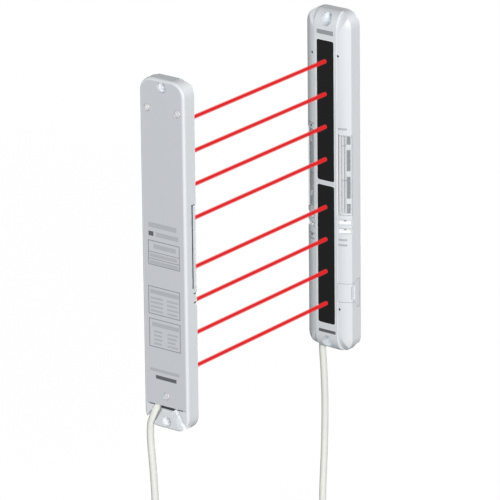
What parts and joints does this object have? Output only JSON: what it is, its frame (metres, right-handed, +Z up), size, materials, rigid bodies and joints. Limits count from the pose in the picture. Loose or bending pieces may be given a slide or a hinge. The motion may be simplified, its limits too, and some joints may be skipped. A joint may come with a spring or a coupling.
{
  "type": "safety light curtain",
  "caption": "Slim safety light curtain: an emitter bar and a receiver bar that face each other, with dark window strips, mounting holes at the ends and a cable on each.",
  "frame": {"origin": "middle of the emitter's flat back, on its back plane, half way between its two mounting holes", "axes": "+Z up along both units, +Y out of the emitter's back, away from the receiver, +X towards the flank of the emitter that carries the access panel"},
  "size_m": [0.0825, 0.159, 0.3245],
  "materials": {
    "housing": "fine satin texture, pale grey",
    "back_cover": "satin, slightly cooler grey",
    "screw_steel": "bright zinc plated",
    "filter_pane": "smooth black infrared filter plastic",
    "clear_plastic": "clear moulded acrylic",
    "clear_cover": "clear moulded polycarbonate",
    "light_guide": "milky, lets the lamps behind it show",
    "tray": "white, smooth",
    "black_plastic": "matt black, moulded",
    "board": "green solder mask",
    "diode": "dark tinted epoxy",
    "socket_plastic": "natural nylon",
    "grommet_rubber": "black rubber",
    "cable_jacket": "warm white soft PVC",
    "core_insulation": "thin coloured PVC",
    "tie": "natural white nylon"
  },
  "bodies": {
    "root": {"emitter_front_housing": "housing", "emitter_back_cover": "back_cover", "emitter_cover_screws": "screw_steel", "emitter_upper_window": "filter_pane", "emitter_lower_window": "filter_pane", "emitter_upper_lens_bar": "clear_plastic", "emitter_lower_lens_bar": "clear_plastic", "emitter_optics_holder": "black_plastic", "emitter_circuit_board": "board", "emitter_beam_diodes": "diode", "emitter_board_chips": "black_plastic", "emitter_service_socket": "socket_plastic", "emitter_cable_header": "socket_plastic", "emitter_cable_grommet": "grommet_rubber", "emitter_lead_wires": "core_insulation", "emitter_right_clear_cover": "clear_cover", "emitter_left_clear_cover": "clear_cover", "emitter_right_indicator_tray": "tray", "emitter_left_indicator_tray": "tray", "emitter_right_light_guides": "light_guide", "emitter_left_light_guides": "light_guide", "emitter_access_panel": "housing", "emitter_cable": "cable_jacket", "emitter_cable_coil": "cable_jacket", "emitter_coil_tie": "tie", "emitter_cable_cores": "core_insulation", "receiver_front_housing": "housing", "receiver_back_cover": "back_cover", "receiver_cover_screws": "screw_steel", "receiver_upper_window": "filter_pane", "receiver_lower_window": "filter_pane", "receiver_upper_lens_bar": "clear_plastic", "receiver_lower_lens_bar": "clear_plastic", "receiver_optics_holder": "black_plastic", "receiver_circuit_board": "board", "receiver_beam_diodes": "diode", "receiver_board_chips": "black_plastic", "receiver_service_socket": "socket_plastic", "receiver_cable_header": "socket_plastic", "receiver_cable_grommet": "grommet_rubber", "receiver_lead_wires": "core_insulation", "receiver_right_clear_cover": "clear_cover", "receiver_left_clear_cover": "clear_cover", "receiver_right_indicator_tray": "tray", "receiver_left_indicator_tray": "tray", "receiver_right_light_guides": "light_guide", "receiver_left_light_guides": "light_guide", "receiver_access_panel": "housing", "receiver_cable": "cable_jacket", "receiver_cable_coil": "cable_jacket", "receiver_coil_tie": "tie", "receiver_cable_cores": "core_insulation"}
  },
  "joints": []
}
